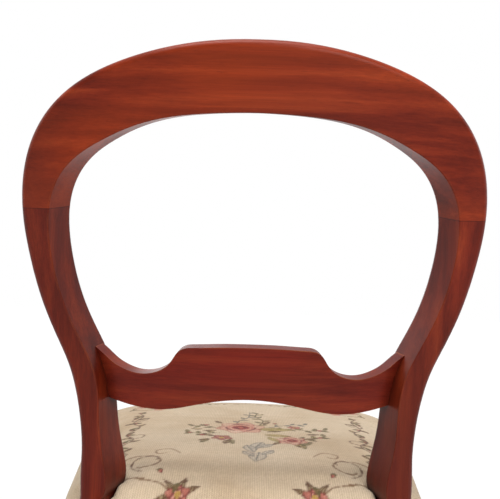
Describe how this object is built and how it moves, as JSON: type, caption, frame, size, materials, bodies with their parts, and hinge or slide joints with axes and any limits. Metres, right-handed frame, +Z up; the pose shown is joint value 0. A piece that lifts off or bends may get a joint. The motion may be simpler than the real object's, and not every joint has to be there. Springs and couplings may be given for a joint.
{
  "type": "balloon back chair",
  "caption": "Balloon back dining chair: arched crest rail on curved stiles, shaped mid rail, turned front legs, sabre rear legs and a stuffed-over tapestry seat.",
  "frame": {"origin": "on the floor, under the middle of the whole chair's box", "axes": "+Z up, -Y the way a sitter faces, +Y the chair's back, +X to the sitter's left"},
  "size_m": [0.4884, 0.5742, 0.8687],
  "materials": {
    "mahogany": "French polished, reddish brown, worn bright on the edges",
    "beech": "unfinished, planed",
    "steel": "plain",
    "blued_steel": "blued",
    "webbing": "woven jute with a dark stripe",
    "hessian": "coarse jute weave",
    "stuffing": "curled hair and fibre",
    "calico": "unbleached cotton",
    "wadding": "cotton felt",
    "tapestry": "petit point wool, cream ground with flowers",
    "black_cloth": "plain black cotton"
  },
  "bodies": {
    "root": {"crest_rail": "mahogany", "left_rear_leg": "mahogany", "right_rear_leg": "mahogany", "mid_rail": "mahogany", "left_front_leg": "mahogany", "right_front_leg": "mahogany", "back_seat_rail": "beech", "front_seat_rail": "beech", "left_seat_rail": "beech", "right_seat_rail": "beech", "left_back_corner_block": "beech", "right_back_corner_block": "beech", "left_front_corner_block": "beech", "right_front_corner_block": "beech", "crest_dowels": "beech", "mid_rail_dowels": "beech", "side_rail_back_dowels": "beech", "side_rail_front_dowels": "beech", "back_rail_dowels": "beech", "front_rail_dowels": "beech", "corner_block_screws": "steel", "webbing_tacks": "blued_steel", "underside_tacks": "blued_steel", "long_webbing": "webbing", "cross_webbing": "webbing", "hessian": "hessian", "first_stuffing": "stuffing", "second_stuffing": "stuffing", "calico_cover": "calico", "wadding": "wadding", "seat_cover": "tapestry", "bottom_cloth": "black_cloth"}
  },
  "joints": []
}
